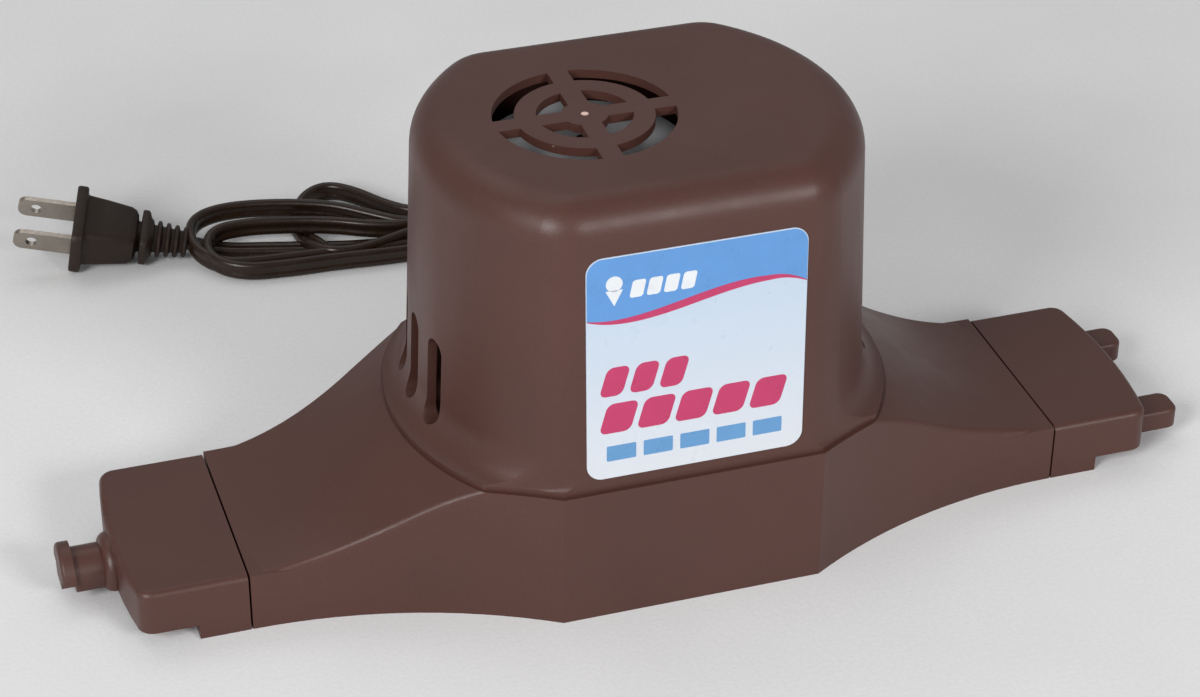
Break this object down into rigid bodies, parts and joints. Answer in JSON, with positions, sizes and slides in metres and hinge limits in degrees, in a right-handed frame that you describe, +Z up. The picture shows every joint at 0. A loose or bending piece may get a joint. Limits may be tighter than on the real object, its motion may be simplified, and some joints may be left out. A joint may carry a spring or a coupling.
{
  "type": "ice cream maker drive unit",
  "caption": "Electric drive unit of a bucket ice cream maker: long low housing with a tall motor dome, gear train, drive socket below and a coiled mains cord.",
  "frame": {"origin": "centre of the base on the resting surface, on the axis of the drive socket", "axes": "+X along the unit towards the two prongs, -Y towards the label, +Z up along the drive axis"},
  "size_m": [0.2887, 0.2176, 0.111],
  "materials": {
    "black_rubber": "soft",
    "brass": "turned",
    "bronze": "sintered",
    "cast_alloy": "as cast",
    "copper": "enamelled copper",
    "cord_vinyl": "dark brown vinyl",
    "fan_plastic": "light grey moulding",
    "fuse_sleeve": "woven sleeve",
    "housing_plastic": "fine grained brown moulding",
    "label": "printed film",
    "lamination_steel": "blued laminations",
    "nylon": "natural nylon",
    "plated_blade": "nickel plated",
    "wire_sleeve": "insulated wire",
    "zinc_steel": "zinc plated"
  },
  "bodies": {
    "housing": {"base_housing": "housing_plastic", "coil_bobbin": "nylon", "cord_hank": "cord_vinyl", "cord_lead": "cord_vinyl", "cover_screws": "zinc_steel", "dome_screws": "zinc_steel", "front_label": "label", "gear_cover": "housing_plastic", "gear_plate": "zinc_steel", "hub_bushing": "bronze", "idler_pin": "zinc_steel", "lead_wires": "wire_sleeve", "lower_bearing": "bronze", "lower_bracket": "cast_alloy", "motor_coil": "copper", "motor_dome": "housing_plastic", "motor_screws": "zinc_steel", "mount_screws": "zinc_steel", "plate_screws": "zinc_steel", "plug_blades": "plated_blade", "plug_body": "cord_vinyl", "rubber_mounts": "black_rubber", "shading_rings": "copper", "stator_laminations": "lamination_steel", "strain_relief": "cord_vinyl", "supply_wires": "wire_sleeve", "thermal_fuse": "fuse_sleeve", "thrust_washer": "zinc_steel", "upper_bearing": "bronze", "upper_bracket": "cast_alloy", "wire_connectors": "fan_plastic"},
    "rotor": {"motor_shaft": "zinc_steel", "rotor_core": "lamination_steel", "rotor_end_rings": "cast_alloy", "cooling_fan": "fan_plastic", "motor_pinion": "brass"},
    "idler": {"idler_gear": "nylon"},
    "output": {"output_gear": "nylon", "drive_hub": "nylon"}
  },
  "joints": [
    {"name": "motor_spin", "type": "hinge", "parent": "housing", "child": "rotor", "pos_m": [-0.013, 0, 0], "axis": [0, 0, 1], "continuous": true},
    {"name": "idler_spin", "type": "hinge", "parent": "housing", "child": "idler", "pos_m": [-0.03402, 0.0139, 0], "axis": [0, 0, 1], "continuous": true},
    {"name": "output_spin", "type": "hinge", "parent": "housing", "child": "output", "pos_m": [0, 0, 0], "axis": [0, 0, 1], "continuous": true}
  ],
  "couplings": [
    {"joint": "idler_spin", "follows": "motor_spin", "ratio": -0.16129},
    {"joint": "output_spin", "follows": "motor_spin", "ratio": 0.026882}
  ]
}
